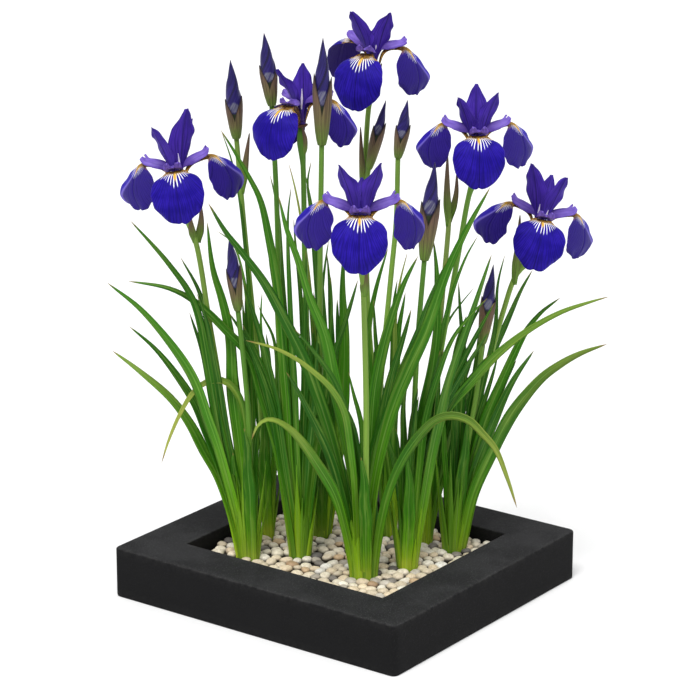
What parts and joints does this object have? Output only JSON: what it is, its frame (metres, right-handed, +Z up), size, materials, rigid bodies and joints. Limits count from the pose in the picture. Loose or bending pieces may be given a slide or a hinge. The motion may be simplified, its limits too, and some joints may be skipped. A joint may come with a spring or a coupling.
{
  "type": "potted japanese iris",
  "caption": "Flowering Japanese iris in a low square stone tray of pebbles: clumps of sword leaves, upright stems, open blue-violet flowers and pointed buds.",
  "frame": {"origin": "middle of the tray's underside", "axes": "+Z up; X and Y along the tray's sides, +X along the longer side; the picture was taken from +X and -Y, 36 degrees round from -Y"},
  "size_m": [0.5114, 0.4581, 0.6529],
  "materials": {
    "tray": "matte, finely grained",
    "soil": "rough",
    "pebbles": "smooth, matte",
    "leaf": "satin",
    "stem": "satin",
    "fall": "velvety",
    "standard": "velvety",
    "style": "satin",
    "bud": "satin"
  },
  "bodies": {
    "root": {"bud_1": "bud", "bud_2": "bud", "bud_3": "bud", "bud_4": "bud", "bud_5": "bud", "bud_6": "bud", "bud_7": "bud", "bud_8": "bud", "bud_stem_1": "stem", "bud_stem_2": "stem", "bud_stem_3": "stem", "bud_stem_4": "stem", "bud_stem_5": "stem", "bud_stem_6": "stem", "bud_stem_7": "stem", "flower_1_falls": "fall", "flower_1_standards": "standard", "flower_1_styles": "style", "flower_2_falls": "fall", "flower_2_standards": "standard", "flower_2_styles": "style", "flower_3_falls": "fall", "flower_3_standards": "standard", "flower_3_styles": "style", "flower_4_falls": "fall", "flower_4_standards": "standard", "flower_4_styles": "style", "flower_5_falls": "fall", "flower_5_standards": "standard", "flower_5_styles": "style", "flower_6_falls": "fall", "flower_6_standards": "standard", "flower_6_styles": "style", "flower_stem_1": "stem", "flower_stem_2": "stem", "flower_stem_3": "stem", "flower_stem_4": "stem", "flower_stem_5": "stem", "flower_stem_6": "stem", "leaf_clump_centre_back": "leaf", "leaf_clump_centre_left": "leaf", "leaf_clump_far_right_back": "leaf", "leaf_clump_front": "leaf", "leaf_clump_left_back": "leaf", "leaf_clump_left_front": "leaf", "leaf_clump_right": "leaf", "leaf_clump_right_back": "leaf", "leaf_clump_right_front": "leaf", "pebbles": "pebbles", "soil": "soil", "spent_stem": "stem", "sprout": "leaf", "tray": "tray"}
  },
  "joints": []
}
